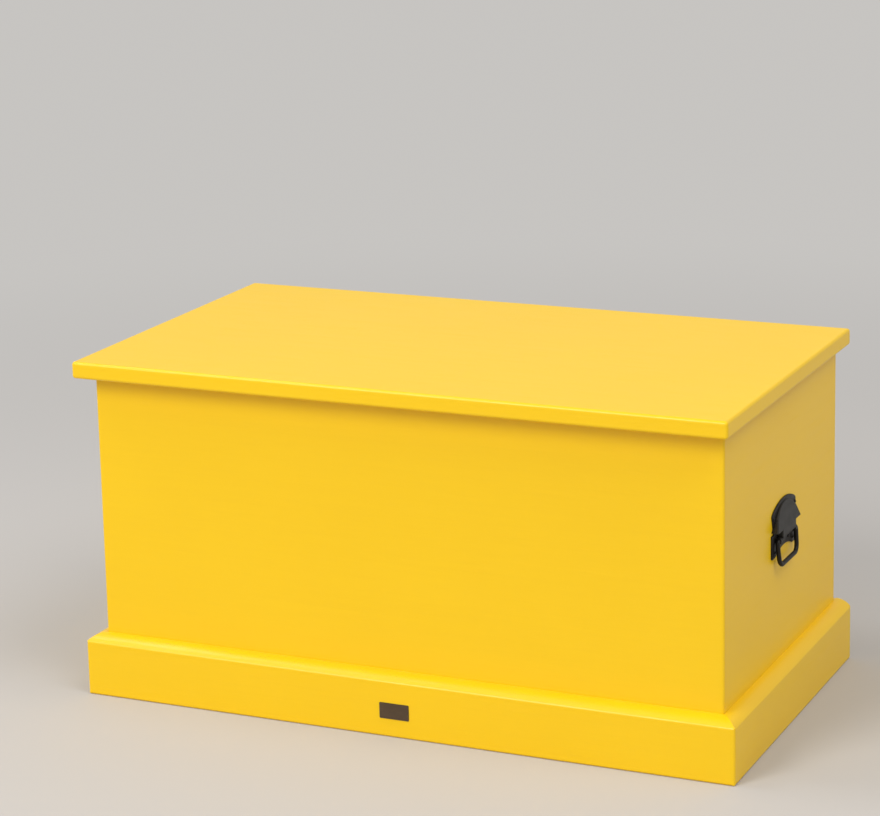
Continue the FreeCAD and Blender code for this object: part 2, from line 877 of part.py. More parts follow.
def lug_face():
    """The outer side of each lug, where the bail's pin is still straight."""
    top = at(0, bail_top_half, 0)
    low = at(bail_bow, bail_bottom_half, -bail_drop)
    return bail_top_half - bend_setback(ORIGIN, top, low, bail_top_bend) - lug_side_gap


def bent_path(points, radii):
    """Straight runs joined by tangent arcs, one radius for each inner point."""
    edges = []
    start = points[0]
    for before, corner, after, radius in zip(points, points[1:], points[2:], radii):
        setback = bend_setback(before, corner, after, radius)
        entry = corner + (before - corner).normalize() * setback
        leave = corner + (after - corner).normalize() * setback
        inwards = ((entry + leave) / 2 - corner).normalize()
        centre = corner + inwards * math.hypot(radius, setback)
        edges.append(Part.LineSegment(start, entry).toShape())
        edges.append(Part.Arc(entry, centre - inwards * radius, leave).toShape())
        start = leave
    edges.append(Part.LineSegment(start, points[-1]).toShape())
    return Part.Wire(edges)


def bail():
    points = bail_points()
    path = bent_path(points, [bail_top_bend, bail_bottom_bend, bail_bottom_bend, bail_top_bend])
    section = Part.Wire(Part.makeCircle(bail_rod_radius, points[0], points[1] - points[0]))
    return path.makePipeShell([section], True, True)


def hood_face(height):
    """How far the hood's sloping face stands from the wall at a height above the bail's axis."""
    rise = (height - hood_bottom_height) / (hood_top_height - hood_bottom_height)
    return hood_depth + (hood_top_depth - hood_depth) * rise


def handle_hood():
    """The raised part, deep at its lower lip and shallower towards the crest.

    A skirt goes on down between the lugs, and the hood is hollow behind it.
    """
    side = [(hood_bottom_share * plate_half, hood_bottom_height),
            (hood_top_share * plate_half, hood_side_height)]
    hood = fan_shape(side, hood_top_height, hood_depth)
    reach = handle_plate_width
    beyond = hood_depth + overrun
    slope = [at(hood_depth, -reach, hood_bottom_height), at(hood_top_depth, -reach, hood_top_height),
             at(beyond, -reach, hood_top_height), at(beyond, -reach, hood_bottom_height)]
    hood = hood.cut(plate_outline(slope, Y * (2 * reach)))

    def on_rim(edge):
        middle = edge.CenterOfMass
        return middle.x > hood_top_depth - tolerance and middle.z > hood_bottom_height + overrun \
            and not runs_along(edge, X)
    hood = eased(hood, hood_edge_radius, on_rim)
    half = lug_face() - lug_width
    skirt = block((0, hood_depth), (-half, half), (skirt_bottom_height, hood_bottom_height))
    skirt = eased(skirt, hood_corner_radius, lambda edge: runs_along(edge, Z) and edge.CenterOfMass.x > 0)
    inside = half - hood_wall
    near = handle_plate_thickness
    far = hood_depth - hood_wall
    low = skirt_bottom_height - overrun
    profile = [at(near, -inside, low), at(far, -inside, low), at(far, -inside, hood_bottom_height),
               at(hood_face(hood_side_height) - hood_wall, -inside, hood_side_height),
               at(near, -inside, hood_side_height)]
    return hood.fuse(skirt).cut(plate_outline(profile, Y * (2 * inside)))


def rest_pad(way):
    """A short rounded pad on the foot of the plate, behind one leg of the hanging bail."""
    z = rest_pad_above_edge - handle_plate_below
    leg = bail_top_half + (bail_bottom_half - bail_top_half) * (-z / bail_drop)
    start = at(handle_plate_thickness, way * (leg - rest_pad_length / 2), z)
    end = at(start.x, way * (leg + rest_pad_length / 2), z)
    pad = cylinder(rest_pad_height, start, end)
    behind = block((-rest_pad_height, 0), (-handle_plate_width, handle_plate_width), (-handle_plate_width, 0))
    return pad.cut(behind)


def handle_plate():
    plate = fan_shape([
        (plate_half, -handle_plate_below), (plate_half, handle_plate_above),
        (fan_waist_share * plate_half, handle_plate_above), (fan_flare_share * plate_half, fan_flare_height),
        (fan_shoulder_share * plate_half, fan_shoulder_height)],
        fan_top_height, handle_plate_thickness, (foot_arch_share * plate_half, foot_arch_height))
    plate = eased(
        plate, fan_corner_radius,
        lambda edge: runs_along(edge, X) and edge.CenterOfMass.z > handle_plate_above + tolerance)
    plate = eased(
        plate, foot_corner_radius,
        lambda edge: runs_along(edge, X) and abs(edge.CenterOfMass.y) > plate_half - tolerance
        and edge.CenterOfMass.z < 0)
    plate = eased(
        plate, handle_plate_edge_radius,
        lambda edge: not runs_along(edge, X) and edge.CenterOfMass.x > handle_plate_thickness / 2)
    pieces = [handle_hood(), rest_pad(-1), rest_pad(1)]
    for way in (-1, 1):
        near, far = sorted((way * lug_face(), way * (lug_face() - lug_width)))
        pieces.append(cylinder(lug_radius, at(bail_axis_offset, near, 0), at(bail_axis_offset, far, 0)))
        pieces.append(block((0, bail_axis_offset), (near, far), (-lug_radius, lug_radius)))
    plate = plate.fuse(pieces).removeSplitter()
    bore = bail_rod_radius + bail_pin_clearance
    bores = []
    for way in (-1, 1):
        inner = at(bail_axis_offset, way * (lug_face() - lug_width - overrun), 0)
        bores.append(cylinder(bore, inner, at(bail_axis_offset, way * (lug_face() + overrun), 0)))
    holes = [aimed(handle_screw_hole(), place, X.negative()) for place in handle_screw_places()]
    return plate.cut(Part.makeCompound(bores + holes))


def handle_screw_places():
    low = handle_low_screw_share * plate_half
    high = handle_high_screw_share * plate_half
    return [at(handle_plate_thickness, way * y, z) for way in (-1, 1)
            for y, z in ((low, -handle_low_screw_depth), (high, handle_high_screw_height))]


def handle_screw():
    head = handle_screw_head_radius
    top = handle_screw_head_height
    shank = handle_screw_shank_radius
    return turned([
        (0, top), (head / 2, top), (head, top / 2), (head, 0), (shank, 0),
        (shank, handle_screw_tip - handle_screw_length), (0, -handle_screw_length)])


def handle_screw_hole():
    radius = handle_screw_shank_radius + screw_clearance
    length = handle_screw_length + screw_clearance
    return turned([(0, overrun), (radius, overrun), (radius, handle_screw_tip - length), (0, -length)])


def handle_screws():
    return [placed_handle(aimed(handle_screw(), place, X.negative())) for place in handle_screw_places()]


def handle_screw_holes():
    return [placed_handle(aimed(handle_screw_hole(), place, X.negative())) for place in handle_screw_places()]


def save(name, *solids):
    shape = solids[0] if len(solids) == 1 else Part.makeCompound(list(solids))
    shape.exportStep("parts/" + name + ".step")


def save_carcass():
    save("front_panel", front_panel())
    save("back_panel", back_panel())
    save("left_panel", left_panel())
    save("right_panel", right_panel())
    save("corner_dowels", *corner_dowels())
    save("bottom_panel", bottom_panel())
    for name in ("front", "back", "left", "right"):
        save("ledger_" + name, ledger(name))
    save("ledger_screws", *ledger_screws())


def save_plinth():
    save("plinth_front", plinth_front_board())
    save("plinth_left", plinth_side_board("left", -1))
    save("plinth_right", plinth_side_board("right", 1))
    save("plinth_back", plinth_back_board())
    save("plinth_screws", *plinth_screws())
    save("label_plate", label_plate())
    save("label_pins", *label_pins())


def save_lid():
    save("lid_panel", lid_panel())
    for name, x in zip(("left", "centre", "right"), batten_places()):
        save("lid_batten_" + name, lid_batten(x))
    save("batten_screws", *batten_screws())
    save("lid_bumpers", *lid_bumpers())


def save_hinges():
    for name, x in zip(("left", "right"), hinge_places()):
        save("hinge_body_leaf_" + name, hinge_leaf(x, -1))
        save("hinge_lid_leaf_" + name, hinge_leaf(x, 1))
        save("hinge_pin_" + name, hinge_pin(x))
    save("hinge_body_screws", *hinge_screws(-1))
    save("hinge_lid_screws", *hinge_screws(1))


def save_stay():
    save("stay_plate", stay_plate())
    save("stay_stud", stay_stud())
    save("stay_arm", stay_arm())
    save("stay_bracket", stay_bracket())
    save("stay_rivet", stay_rivet())
    save("stay_plate_screws", *stay_screws_at(stay_plate_screw_places(), X.negative()))
    save("stay_bracket_screws", *stay_screws_at(stay_foot_screw_places(), Z))


def save_handles():
    right_plate = placed_handle(handle_plate())
    right_bail = placed_handle(bail())
    save("handle_plate_right", right_plate)
    save("handle_plate_left", mirrored(right_plate))
    save("handle_bail_right", right_bail)
    save("handle_bail_left", mirrored(right_bail))
    save("handle_screws_right", *handle_screws())
    save("handle_screws_left", *[mirrored(screw) for screw in handle_screws()])


os.makedirs("parts", exist_ok=True)
save_carcass()
save_plinth()
save_lid()
save_hinges()
save_stay()
save_handles()
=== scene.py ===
import json
import math

import bmesh
import bpy
from mathutils import Matrix, Vector

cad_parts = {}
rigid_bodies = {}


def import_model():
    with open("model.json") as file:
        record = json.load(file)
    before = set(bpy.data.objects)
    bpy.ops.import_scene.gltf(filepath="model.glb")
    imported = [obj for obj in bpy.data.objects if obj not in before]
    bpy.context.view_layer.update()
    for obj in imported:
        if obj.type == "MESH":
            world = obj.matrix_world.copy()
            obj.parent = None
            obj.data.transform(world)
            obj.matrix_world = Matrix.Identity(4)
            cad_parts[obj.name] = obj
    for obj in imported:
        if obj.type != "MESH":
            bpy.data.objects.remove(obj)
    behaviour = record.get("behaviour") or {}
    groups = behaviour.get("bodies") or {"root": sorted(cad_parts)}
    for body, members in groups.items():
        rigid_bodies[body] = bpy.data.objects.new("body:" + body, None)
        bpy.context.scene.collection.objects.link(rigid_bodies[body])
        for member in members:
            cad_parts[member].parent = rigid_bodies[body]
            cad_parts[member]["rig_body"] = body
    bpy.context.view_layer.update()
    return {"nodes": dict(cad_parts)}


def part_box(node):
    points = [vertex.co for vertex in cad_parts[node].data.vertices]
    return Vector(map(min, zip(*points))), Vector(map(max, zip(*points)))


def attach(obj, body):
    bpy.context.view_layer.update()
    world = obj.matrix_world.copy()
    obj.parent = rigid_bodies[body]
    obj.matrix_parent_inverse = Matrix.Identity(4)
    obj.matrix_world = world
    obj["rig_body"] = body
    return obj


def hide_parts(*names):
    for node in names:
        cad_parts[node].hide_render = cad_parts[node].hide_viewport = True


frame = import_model()
nodes = frame["nodes"]
scene = bpy.context.scene
scene.view_settings.view_transform = "Standard"


# Camera: a long lens at standing height, to the right of the chest's front, with the shift that keeps
# the uprights nearly parallel. It leans a little, as the photograph does.
azimuth, elevation, lean = math.radians(24.39), math.radians(12.627), math.radians(-1.247)
camera_place = Vector((1.67815, -3.78812, 1.51037))
across = Vector((math.cos(azimuth), math.sin(azimuth), 0))
backwards = Vector((
    math.sin(azimuth) * math.cos(elevation), -math.cos(azimuth) * math.cos(elevation), math.sin(elevation)))
upwards = backwards.cross(across)
camera_right = across * math.cos(lean) + upwards * math.sin(lean)
camera_up = upwards * math.cos(lean) - across * math.sin(lean)
camera_turn = Matrix((camera_right, camera_up, backwards)).transposed().to_4x4()
camera = bpy.data.objects.new("camera", bpy.data.cameras.new("camera"))
camera.matrix_world = Matrix.Translation(camera_place) @ camera_turn
camera.data.sensor_width = 36
camera.data.lens = 118.72
camera.data.shift_y = -0.12273
scene.collection.objects.link(camera)
scene.camera = camera


# Studio: a pale matt floor that fades into a pale surround. A large soft key lamp stands high at the
# front left and a small one at the left. A weak fill hangs high at the right, where the lid shades the
# top of the chest's end.
class Wire:
    """One output socket of a node tree. Python's operators on it add Math nodes."""

    def __init__(self, tree, socket=None):
        self.tree = tree
        self.socket = socket

    def node(self, kind, inputs=None, output=0, **settings):
        """Adds a node. A socket takes a value, a wire, or a list of wires where it joins several."""
        made = self.tree.nodes.new(kind)
        for name, value in settings.items():
            setattr(made, name, value)
        for name, value in (inputs or {}).items():
            if isinstance(value, (Wire, list)):
                for wire in value if isinstance(value, list) else [value]:
                    self.tree.links.new(wire.socket, made.inputs[name])
            else:
                made.inputs[name].default_value = value
        return Wire(self.tree, made.outputs[output]) if made.outputs else made

    def also(self, output):
        """Another output of the same node."""
        return Wire(self.tree, self.socket.node.outputs[output])

    def math(self, operation, first, second):
        return self.node("ShaderNodeMath", {0: first, 1: second}, operation=operation)

    def __add__(self, other):
        return self.math("ADD", self, other)

    def __radd__(self, other):
        return self.math("ADD", other, self)

    def __sub__(self, other):
        return self.math("SUBTRACT", self, other)

    def __rsub__(self, other):
        return self.math("SUBTRACT", other, self)

    def __mul__(self, other):
        return self.math("MULTIPLY", self, other)

    def __rmul__(self, other):
        return self.math("MULTIPLY", other, self)

    def __truediv__(self, other):
        return self.math("DIVIDE", self, other)

    def __rtruediv__(self, other):
        return self.math("DIVIDE", other, self)

    def clamped(self):
        return self.node("ShaderNodeClamp", {0: self})


def start_material(name):
    """An empty material, its tree and its object coordinates."""
    material = bpy.data.materials.new(name)
    material.use_nodes = True
    material.node_tree.nodes.clear()
    tree = Wire(material.node_tree)
    place = tree.node("ShaderNodeTexCoord", output="Object")
    return material, tree, place


def ramped(value, start, end):
    """Rises smoothly from 0 to 1 while the value goes from start to end."""
    return value.node("ShaderNodeMapRange", {"Value": value, "From Min": start, "From Max": end},
                      interpolation_type="SMOOTHSTEP")


backdrop_colour = (0.57, 0.555, 0.535, 1)
floor_colour = (0.54, 0.52, 0.50, 1)
ambient_colour = (0.95, 0.96, 0.98, 1)
ambient_strength = 0.54
floor_radius = 14
fade_start, fade_end = 1.0, 3.4

floor_mesh = bpy.data.meshes.new("floor")
shape = bmesh.new()
bmesh.ops.create_circle(shape, cap_ends=True, segments=96, radius=floor_radius)
shape.to_mesh(floor_mesh)
shape.free()
floor = bpy.data.objects.new("floor", floor_mesh)
scene.collection.objects.link(floor)
floor_material, tree, place = start_material("floor")
distance = place.node("ShaderNodeVectorMath", {0: place}, output="Value", operation="LENGTH")
near_floor = tree.node("ShaderNodeBsdfDiffuse", {"Color": floor_colour})
far_floor = tree.node("ShaderNodeEmission", {"Color": backdrop_colour, "Strength": 1.0})
tree.node("ShaderNodeOutputMaterial", {"Surface": tree.node("ShaderNodeMixShader", {
    0: ramped(distance, fade_start, fade_end), 1: near_floor, 2: far_floor})})
floor_mesh.materials.append(floor_material)

world = bpy.data.worlds.new("studio")
scene.world = world
world.use_nodes = True
world.node_tree.nodes.clear()
tree = Wire(world.node_tree)
rays = tree.node("ShaderNodeLightPath", output="Is Camera Ray")
seen = (rays + rays.also("Is Glossy Ray") + rays.also("Is Transmission Ray")).clamped()
ambient = tree.node("ShaderNodeBackground", {"Color": ambient_colour, "Strength": ambient_strength})
surround = tree.node("ShaderNodeBackground", {"Color": backdrop_colour, "Strength": 1.0})
tree.node("ShaderNodeOutputWorld", {
    "Surface": tree.node("ShaderNodeMixShader", {0: seen, 1: ambient, 2: surround})})

lamp_target = Vector((0, 0, 0.3))


def soft_lamp(name, place, size, power, colour):
    lamp = bpy.data.lights.new(name, "AREA")
    lamp.shape = "DISK"
    lamp.size = size
    lamp.energy = power
    lamp.color = colour
    holder = bpy.data.objects.new(name, lamp)
    holder.location = place
    holder.rotation_euler = (lamp_target - Vector(place)).to_track_quat("-Z", "Y").to_euler()
    scene.collection.objects.link(holder)


soft_lamp("key", place=(-2.4, -5.6, 4.4), size=3.4, power=292, colour=(1.0, 0.98, 0.95))
soft_lamp("overhead", place=(-2.5, -0.6, 4.4), size=1.2, power=36, colour=(1.0, 1.0, 1.0))
soft_lamp("fill", place=(2.7, -1.0, 4.5), size=3.2, power=94, colour=(1.0, 0.97, 0.93))


# Carcass: four glued-up pine boards, sprayed with a satin yellow paint that lets the grain show as a
# faint relief. The front and back boards cover the ends of the side boards.
def finish_material(tree, inputs):
    shader = tree.node("ShaderNodeBsdfPrincipled", inputs)
    tree.node("ShaderNodeOutputMaterial", {"Surface": shader})


def stretched(place, scale):
    return place.node("ShaderNodeMapping", {"Vector": place, "Scale": scale})


def noise(place, scale, detail, roughness=0.5, distortion=0.0):
    return place.node("ShaderNodeTexNoise", {
        "Vector": place, "Scale": scale, "Detail": detail, "Roughness": roughness, "Distortion": distortion})


def bumped(height, strength, distance):
    """A relief of the given height, in metres at its highest."""
    return height.node("ShaderNodeBump", {"Strength": strength, "Distance": distance, "Height": height},
                       output="Normal")


def mixed(factor, first, second):
    """A colour between two others, each written as a triple or wired."""
    first, second = [(*colour, 1) if isinstance(colour, tuple) else colour for colour in (first, second)]
    return factor.node("ShaderNodeMix", {"Factor": factor, "A": first, "B": second}, output="Result",
                       data_type="RGBA")


paint_dark = (0.900, 0.555, 0.002)
paint_light = (0.960, 0.612, 0.003)
paint_relief = 0.0003
long_grain, cross_grain = 3.0, 130.0
pore_length_factor, pore_width_factor = 4, 7
pore_threshold, pore_sharpness = 0.46, 7.0


def yellow_paint(name, grain_scale):
    material, tree, place = start_material(name)
    grain = noise(stretched(place, grain_scale), 1.0, detail=5.0, roughness=0.6, distortion=0.6)
    pore_scale = tuple(
        scale * (pore_length_factor if scale == long_grain else pore_width_factor) for scale in grain_scale)
    pore_noise = noise(stretched(place, pore_scale), 1.0, detail=2.0, roughness=0.6)
    pores = ((pore_threshold - pore_noise) * pore_sharpness).clamped()
    peel = noise(place, 420.0, detail=2.0)
    tone = noise(place, 3.5, detail=3.0)
    mix = (tone * 0.6 + grain * 0.4 - pores * 0.12).clamped()
    height = grain * 0.7 + peel * 0.3 - pores * 0.35
    finish_material(tree, {
        "Base Color": mixed(mix, paint_dark, paint_light), "Roughness": 0.29 + grain * 0.08 + pores * 0.08,
        "Normal": bumped(height, 0.5, paint_relief), "Specular IOR Level": 0.42})
    return material


def dress(names, material):
    """Gives CAD nodes a better material."""
    for name in names:
        for slot in nodes[name].material_slots:
            slot.material = material


paint_lengthways = yellow_paint("yellow_paint_lengthways", (long_grain, cross_grain, cross_grain))
paint_crossways = yellow_paint("yellow_paint_crossways", (cross_grain, long_grain, cross_grain))
dress(["front_panel", "back_panel"], paint_lengthways)
dress(["left_panel", "right_panel"], paint_crossways)


# Dowels in the four corners: fluted beech, five to a corner, glued into blind holes of the front or back
# board and of the side board's end.
wood_relief = 0.0003
joint_width = 0.0009


def bare_wood(name, grain_scale, dark, light, strip_width=None):
    """Planed wood. Given a strip width, it is glued up from strips, each with its own figure."""
    material, tree, place = start_material(name)
    tone, joint = 0.5, 0.0
    if strip_width:
        along = place.node("ShaderNodeSeparateXYZ", {0: place}, output="Y") / strip_width
        strip = along.node("ShaderNodeMath", {0: along}, operation="FLOOR")
        tone = strip.node("ShaderNodeTexWhiteNoise", {"W": strip}, noise_dimensions="1D")
        joint = (1.0 - (along - strip) * (strip_width / joint_width)).clamped()
        shift = strip.node("ShaderNodeCombineXYZ", {"X": strip * 3.7, "Z": strip * 1.9})
        place = place.node("ShaderNodeVectorMath", {0: place, 1: shift}, operation="ADD")
    wave = noise(place, 4.0, detail=2.0)
    lines = noise(stretched(place, grain_scale), 1.0, detail=6.0, roughness=0.65, distortion=1.2)
    figure = (lines * 1.5 + wave * 0.5 + tone * 0.4 - joint * 0.9 - 0.7).clamped()
    height = lines - joint
    finish_material(tree, {
        "Base Color": mixed(figure, dark, light), "Roughness": 0.62 + lines * 0.15,
        "Normal": bumped(height, 0.4, wood_relief)})
    return material


beech = bare_wood("beech", (300.0, 20.0, 300.0), dark=(0.52, 0.32, 0.17), light=(0.68, 0.47, 0.28))
dress(["corner_dowels"], beech)


# Bottom board and its four ledgers: bare planed pine, the board glued up from strips. The ledgers are
# screwed round the inside of the carcass and the board lies on them.
pine_dark, pine_light = (0.50, 0.28, 0.11), (0.82, 0.62, 0.38)
pine_long_grain, pine_cross_grain = 1.8, 60.0
pine_strip_width = 0.092
pine_along_x = (pine_long_grain, pine_cross_grain, pine_cross_grain)
pine_along_y = (pine_cross_grain, pine_long_grain, pine_cross_grain)
dress(["bottom_panel"], bare_wood("pine_strips", pine_along_x, pine_dark, pine_light, pine_strip_width))
dress(["ledger_front", "ledger_back"], bare_wood("pine_lengthways", pine_along_x, pine_dark, pine_light))
dress(["ledger_left", "ledger_right"], bare_wood("pine_crossways", pine_along_y, pine_dark, pine_light))


# Screws of the ledgers and the plinth: zinc-plated wood screws with countersunk slotted heads, driven
# outwards from inside the chest, flush with the wood.
def metal(name, dark, light, metallic, roughness, grain_scale, relief):
    material, tree, place = start_material(name)
    grain = noise(stretched(place, grain_scale), 1.0, detail=4.0, roughness=0.6)
    cloud = noise(place, 45.0, detail=3.0)
    mix = (grain * 0.5 + cloud * 0.5).clamped()
    finish_material(tree, {
        "Base Color": mixed(mix, dark, light), "Metallic": metallic, "Roughness": roughness + cloud * 0.15,
        "Normal": bumped(grain, 0.5, relief)})
    return material


head_facets, shank_facets = 32, 20
tip_share = 1.6
point_radius = 0.0001


def screw_tree():
    """Geometry Nodes that put a slotted screw on every point, its head facing against Direction."""
    group = bpy.data.node_groups.new("slotted_screws", "GeometryNodeTree")
    group.interface.new_socket("Geometry", in_out="OUTPUT", socket_type="NodeSocketGeometry")
    for name, kind in (
            ("Places", "Geometry"), ("Head Radius", "Float"), ("Head Height", "Float"), ("Domed", "Bool"),
            ("Shank Radius", "Float"), ("Length", "Float"), ("Slot Width", "Float"), ("Slot Depth", "Float"),
            ("Direction", "Vector"), ("Seed", "Int"), ("Finish", "Material")):
        group.interface.new_socket(name, in_out="INPUT", socket_type="NodeSocket" + kind)
    tree = Wire(group)
    given = tree.node("NodeGroupInput", output="Places")
    head_radius, head_height = given.also("Head Radius"), given.also("Head Height")
    shank_radius, length = given.also("Shank Radius"), given.also("Length")
    domed = given.also("Domed")

    def vector(**parts):
        return tree.node("ShaderNodeCombineXYZ", parts)

    def moved(part, distance):
        return tree.node("GeometryNodeTransform", {"Geometry": part, "Translation": vector(Z=distance)})

    sunk_head = moved(tree.node("GeometryNodeMeshCone", {
        "Vertices": head_facets, "Radius Top": head_radius, "Radius Bottom": shank_radius,
        "Depth": head_height}, output="Mesh"), head_height * -1.0)
    ball = tree.node("GeometryNodeMeshUVSphere", {
        "Segments": head_facets, "Rings": head_facets // 2, "Radius": 1.0}, output="Mesh")
    dome = tree.node("GeometryNodeTransform", {
        "Geometry": ball, "Scale": vector(X=head_radius, Y=head_radius, Z=head_height)})
    head = tree.node("GeometryNodeSwitch", {
        "Switch": domed, "False": sunk_head, "True": dome}, input_type="GEOMETRY")
    slot = tree.node("GeometryNodeMeshCube", {"Size": vector(
        X=head_radius * 3.0, Y=given.also("Slot Width"), Z=given.also("Slot Depth") * 2.0)}, output="Mesh")
    top = tree.node("GeometryNodeSwitch", {
        "Switch": domed, "False": 0.0, "True": head_height}, input_type="FLOAT")
    head = tree.node("GeometryNodeMeshBoolean", {"Mesh 1": head, "Mesh 2": moved(slot, top)},
                     output="Mesh", operation="DIFFERENCE")
    tip = shank_radius * tip_share
    shank_length = length - tip - head_height * 0.5
    shank = moved(tree.node("GeometryNodeMeshCylinder", {
        "Vertices": shank_facets, "Radius": shank_radius, "Depth": shank_length}, output="Mesh"),
        (shank_length * 0.5 + head_height * 0.5) * -1.0)
    point = moved(tree.node("GeometryNodeMeshCone", {
        "Vertices": shank_facets, "Radius Top": shank_radius, "Radius Bottom": point_radius,
        "Depth": tip}, output="Mesh"), length * -1.0)
    screw = tree.node("GeometryNodeJoinGeometry", {0: [head, shank, point]})
    facing = tree.node("FunctionNodeAlignRotationToVector", {
        "Vector": tree.node("ShaderNodeVectorMath", {0: given.also("Direction"), 3: -1.0},
                            operation="SCALE")}, axis="Z")
    placed = tree.node("GeometryNodeInstanceOnPoints", {
        "Points": given, "Instance": screw, "Rotation": facing})
    angle = tree.node("FunctionNodeRandomValue", {2: 0.0, 3: math.pi, "Seed": given.also("Seed")},
                      output=1, data_type="FLOAT")
    turned = tree.node("GeometryNodeRotateInstances", {
        "Instances": placed, "Rotation": vector(Z=angle), "Local Space": True})
    solid = tree.node("GeometryNodeRealizeInstances", {0: turned})
    finished = tree.node("GeometryNodeSetMaterial", {"Geometry": solid, "Material": given.also("Finish")})
    tree.node("NodeGroupOutput", {"Geometry": finished})
    return group


def solid_boxes(node):
    """The middle and size of each separate solid of a CAD node."""
    shape = bmesh.new()
    shape.from_mesh(node.data)
    bmesh.ops.remove_doubles(shape, verts=shape.verts, dist=1e-6)
    unseen = set(shape.verts)
    found = []
    while unseen:
        patch = [unseen.pop()]
        for vertex in patch:
            for edge in vertex.link_edges:
                other = edge.other_vert(vertex)
                if other in unseen:
                    unseen.remove(other)
                    patch.append(other)
        low = Vector([min(vertex.co[axis] for vertex in patch) for axis in range(3)])
        high = Vector([max(vertex.co[axis] for vertex in patch) for axis in range(3)])
        found.append(((low + high) / 2, high - low))
    shape.free()
    return sorted(found, key=lambda item: tuple(item[0]))


slotted_screws = screw_tree()
screw_inputs = {
    item.name: item.identifier for item in slotted_screws.interface.items_tree if item.in_out == "INPUT"}
slot_width_share, slot_depth_share = 0.28, 0.5


def screws(node_name, slot_name, finish, way_of, head_radius, head_height, shank_radius, domed, seed):
    """Replaces a node of screws by slotted ones in the same places. They go in along way_of."""
    groups = {}
    for middle, size in solid_boxes(nodes[node_name]):
        way = way_of(middle) if callable(way_of) else Vector(way_of)
        length = abs(size.dot(way))
        groups.setdefault((tuple(way), round(length, 5)), []).append(middle - way * (length / 2))
    rise = head_height if domed else 0.0
    shape = bmesh.new()
    for (way, length), places in groups.items():
        mesh = bpy.data.meshes.new(node_name)
        mesh.from_pydata([place + Vector(way) * rise for place in places], [], [])
        holder = bpy.data.objects.new(node_name, mesh)
        scene.collection.objects.link(holder)
        modifier = holder.modifiers.new("screws", "NODES")
        modifier.node_group = slotted_screws
        for name, value in (
                ("Head Radius", head_radius), ("Head Height", head_height), ("Domed", domed),
                ("Shank Radius", shank_radius), ("Length", length - rise),
                ("Slot Width", head_radius * slot_width_share),
                ("Slot Depth", head_height * slot_depth_share), ("Direction", way), ("Seed", seed),
                ("Finish", finish)):
            modifier[screw_inputs[name]] = value
        bpy.context.view_layer.update()
        shape.from_mesh(bpy.data.meshes.new_from_object(
            holder.evaluated_get(bpy.context.evaluated_depsgraph_get())))
        bpy.data.objects.remove(holder)
    mesh = bpy.data.meshes.new(node_name + "_slotted")
    shape.to_mesh(mesh)
    shape.free()
    mesh.materials.append(finish)
    piece = bpy.data.objects.new(node_name + "_slotted", mesh)
    scene.collection.objects.link(piece)
    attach(piece, nodes[node_name]["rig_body"])
    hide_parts(node_name)


body_middle_y = 0.011
half_body_width, half_body_depth = 0.483, 0.259


def outwards(screw_middle):
    """The level direction from the chest's middle out through the board that a screw is in."""
    off_x, off_y = screw_middle.x, screw_middle.y - body_middle_y
    if abs(off_x / half_body_width) > abs(off_y / half_body_depth):
        return Vector((math.copysign(1, off_x), 0, 0))
    return Vector((0, math.copysign(1, off_y), 0))


zinc = metal("zinc", dark=(0.48, 0.48, 0.47), light=(0.66, 0.66, 0.64), metallic=1.0, roughness=0.28,
             grain_scale=(900.0, 900.0, 900.0), relief=0.00004)
wood_screw = {"head_radius": 0.0035, "head_height": 0.00175, "shank_radius": 0.00175, "domed": False}
screws("ledger_screws", "zinc_screw", zinc, outwards, **wood_screw, seed=2)
screws("plinth_screws", "zinc_screw", zinc, outwards, **wood_screw, seed=3)


# Plinth: four pine boards round the foot of the carcass, painted with it and screwed to it from inside.
# The front and side boards have a moulded top edge and are mitred at the front corners.
dress(["plinth_front", "plinth_back"], paint_lengthways)
dress(["plinth_left", "plinth_right"], paint_crossways)


# Label plate: a small bare plate of dark aged metal on the middle of the plinth's front, held by two
# round-headed pins.
aged_metal = metal("aged_metal", dark=(0.050, 0.034, 0.020), light=(0.145, 0.098, 0.060), metallic=0.55,
                   roughness=0.42, grain_scale=(60.0, 900.0, 900.0), relief=0.00005)
dress(["label_plate", "label_pins"], aged_metal)


# Lid: one wide glued-up board, eased on all its edges, with three battens screwed under it to keep it
# flat, and four thin felt bumpers that it closes on.
dress(["lid_panel"], paint_lengthways)
dress(["lid_batten_left", "lid_batten_centre", "lid_batten_right"], paint_crossways)
up, down = (0, 0, 1), (0, 0, -1)
screws("batten_screws", "zinc_screw", zinc, up, **wood_screw, seed=4)

felt_relief = 0.0003
felt, tree, place = start_material("felt")
fibre = noise(place, 1600.0, detail=4.0, roughness=0.7)
finish_material(tree, {
    "Base Color": mixed(fibre, (0.26, 0.20, 0.13), (0.45, 0.37, 0.26)), "Roughness": 0.95,
    "Normal": bumped(fibre, 0.8, felt_relief)})
dress(["lid_bumpers"], felt)


# Butt hinges: two, of dull brass, let into the back board's top edge and the lid's underside, with five
# knuckles on a headed pin and three screws in each leaf.
brass = metal("dull_brass", dark=(0.36, 0.25, 0.10), light=(0.52, 0.39, 0.18), metallic=1.0, roughness=0.34,
              grain_scale=(50.0, 900.0, 900.0), relief=0.00004)
dress(["hinge_body_leaf_left", "hinge_body_leaf_right", "hinge_lid_leaf_left", "hinge_lid_leaf_right",
       "hinge_pin_left", "hinge_pin_right"], brass)
small_screw = {"head_radius": 0.0030, "head_height": 0.0015, "shank_radius": 0.0015, "domed": False}
screws("hinge_body_screws", "zinc_screw", brass, down, **small_screw, seed=5)
screws("hinge_lid_screws", "zinc_screw", brass, up, **small_screw, seed=6)


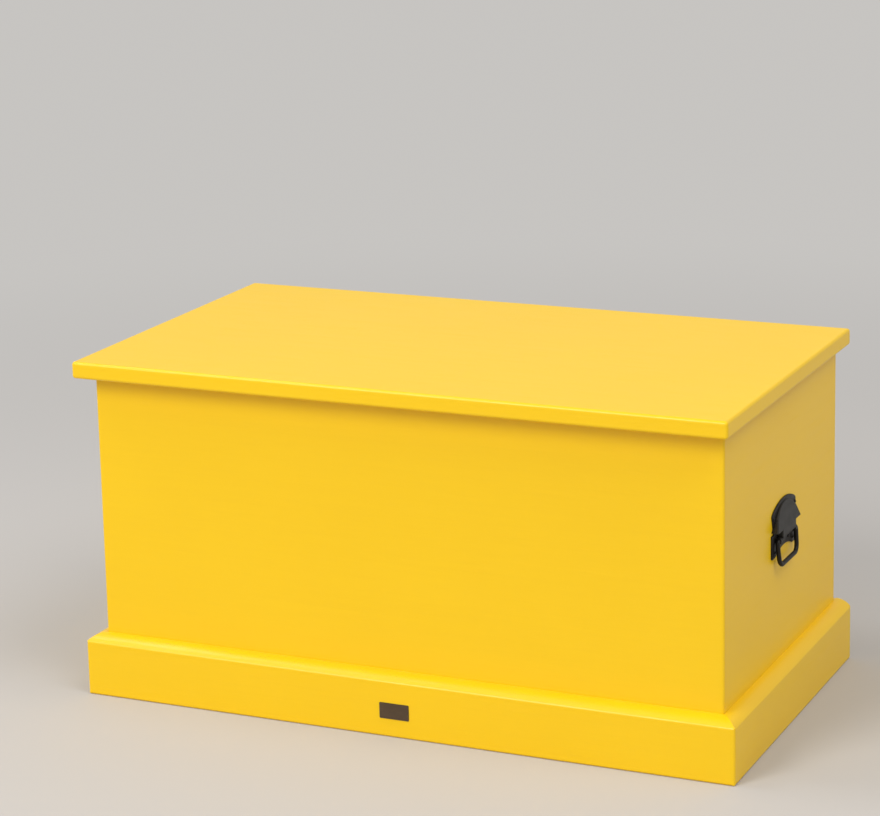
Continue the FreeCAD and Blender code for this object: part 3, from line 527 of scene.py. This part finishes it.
# Lid stay: a slotted flat steel arm that hangs from a bracket under the lid and slides on a headed stud
# on the left side board.
steel = metal("stay_steel", dark=(0.40, 0.40, 0.40), light=(0.58, 0.58, 0.57), metallic=1.0, roughness=0.30,
              grain_scale=(900.0, 900.0, 60.0), relief=0.00004)
dress(["stay_plate", "stay_stud", "stay_arm", "stay_bracket", "stay_rivet"], steel)
leftwards, rightwards = (-1, 0, 0), (1, 0, 0)
screws("stay_plate_screws", "zinc_screw", zinc, leftwards, **small_screw, seed=7)
screws("stay_bracket_screws", "zinc_screw", zinc, up, **small_screw, seed=8)


# Handles: a cast iron plate with a hood, two lugs and two rest pads, under thin black paint, and a bent rod
# bail in the lugs.
# The upper, raised part of the hood is coloured paler, a painted sheen for the light it catches. Each is
# held by four round-headed screws.
iron_dark, iron_light = (0.0040, 0.0028, 0.0020), (0.0100, 0.0075, 0.0055)
# Paler colours of the painted sheen on the hood, and the shares of the hood's depth and height over which it
# fades in.
hood_sheen_dark, hood_sheen_light = (0.009, 0.008, 0.007), (0.026, 0.024, 0.021)
iron_relief = 0.0006
hood_depth_shares = (0.24, 0.42)
hood_height_shares = (0.35, 0.42)


def black_iron(name, plate=None):
    """Black paint on cast iron. Given a plate's node, its raised upper hood is coloured paler, a painted
    sheen.
    """
    material, tree, place = start_material(name)
    cast = noise(place, 300.0, detail=4.0, roughness=0.6)
    fine = noise(place, 1500.0, detail=3.0)
    patches = noise(place, 90.0, detail=3.0)
    colour = mixed((patches * 1.2 - 0.1).clamped(), iron_dark, iron_light)
    if plate:
        low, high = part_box(plate)
        wall = min(abs(low[0]), abs(high[0]))
        depth, height = high[0] - low[0], high[2] - low[2]
        apart = place.node("ShaderNodeSeparateXYZ", {0: place}, output="X")
        out = apart.node("ShaderNodeMath", {0: apart}, operation="ABSOLUTE")
        proud = ramped(out, *[wall + depth * share for share in hood_depth_shares])
        above = ramped(apart.also("Z"), *[low[2] + height * share for share in hood_height_shares])
        # Painted sheen: the raised upper hood is coloured paler, as if it caught the light.
        hood_sheen = mixed((cast * 0.6 + patches * 0.5).clamped(), hood_sheen_dark, hood_sheen_light)
        colour = mixed(proud * above, colour, hood_sheen)
    finish_material(tree, {
        "Base Color": colour, "Roughness": 0.30 + patches * 0.30,
        "Normal": bumped(cast * 0.7 + fine * 0.3, 0.8, iron_relief), "Specular IOR Level": 0.3})
    return material


for plate in ("handle_plate_right", "handle_plate_left"):
    dress([plate], black_iron(plate + "_iron", plate))
rod_iron = black_iron("rod_iron")
dress(["handle_bail_right", "handle_bail_left"], rod_iron)
round_screw = {"head_radius": 0.0028, "head_height": 0.0020, "shank_radius": 0.0015, "domed": True}
screws("handle_screws_right", "black_iron", rod_iron, leftwards, **round_screw, seed=9)
screws("handle_screws_left", "black_iron", rod_iron, rightwards, **round_screw, seed=10)
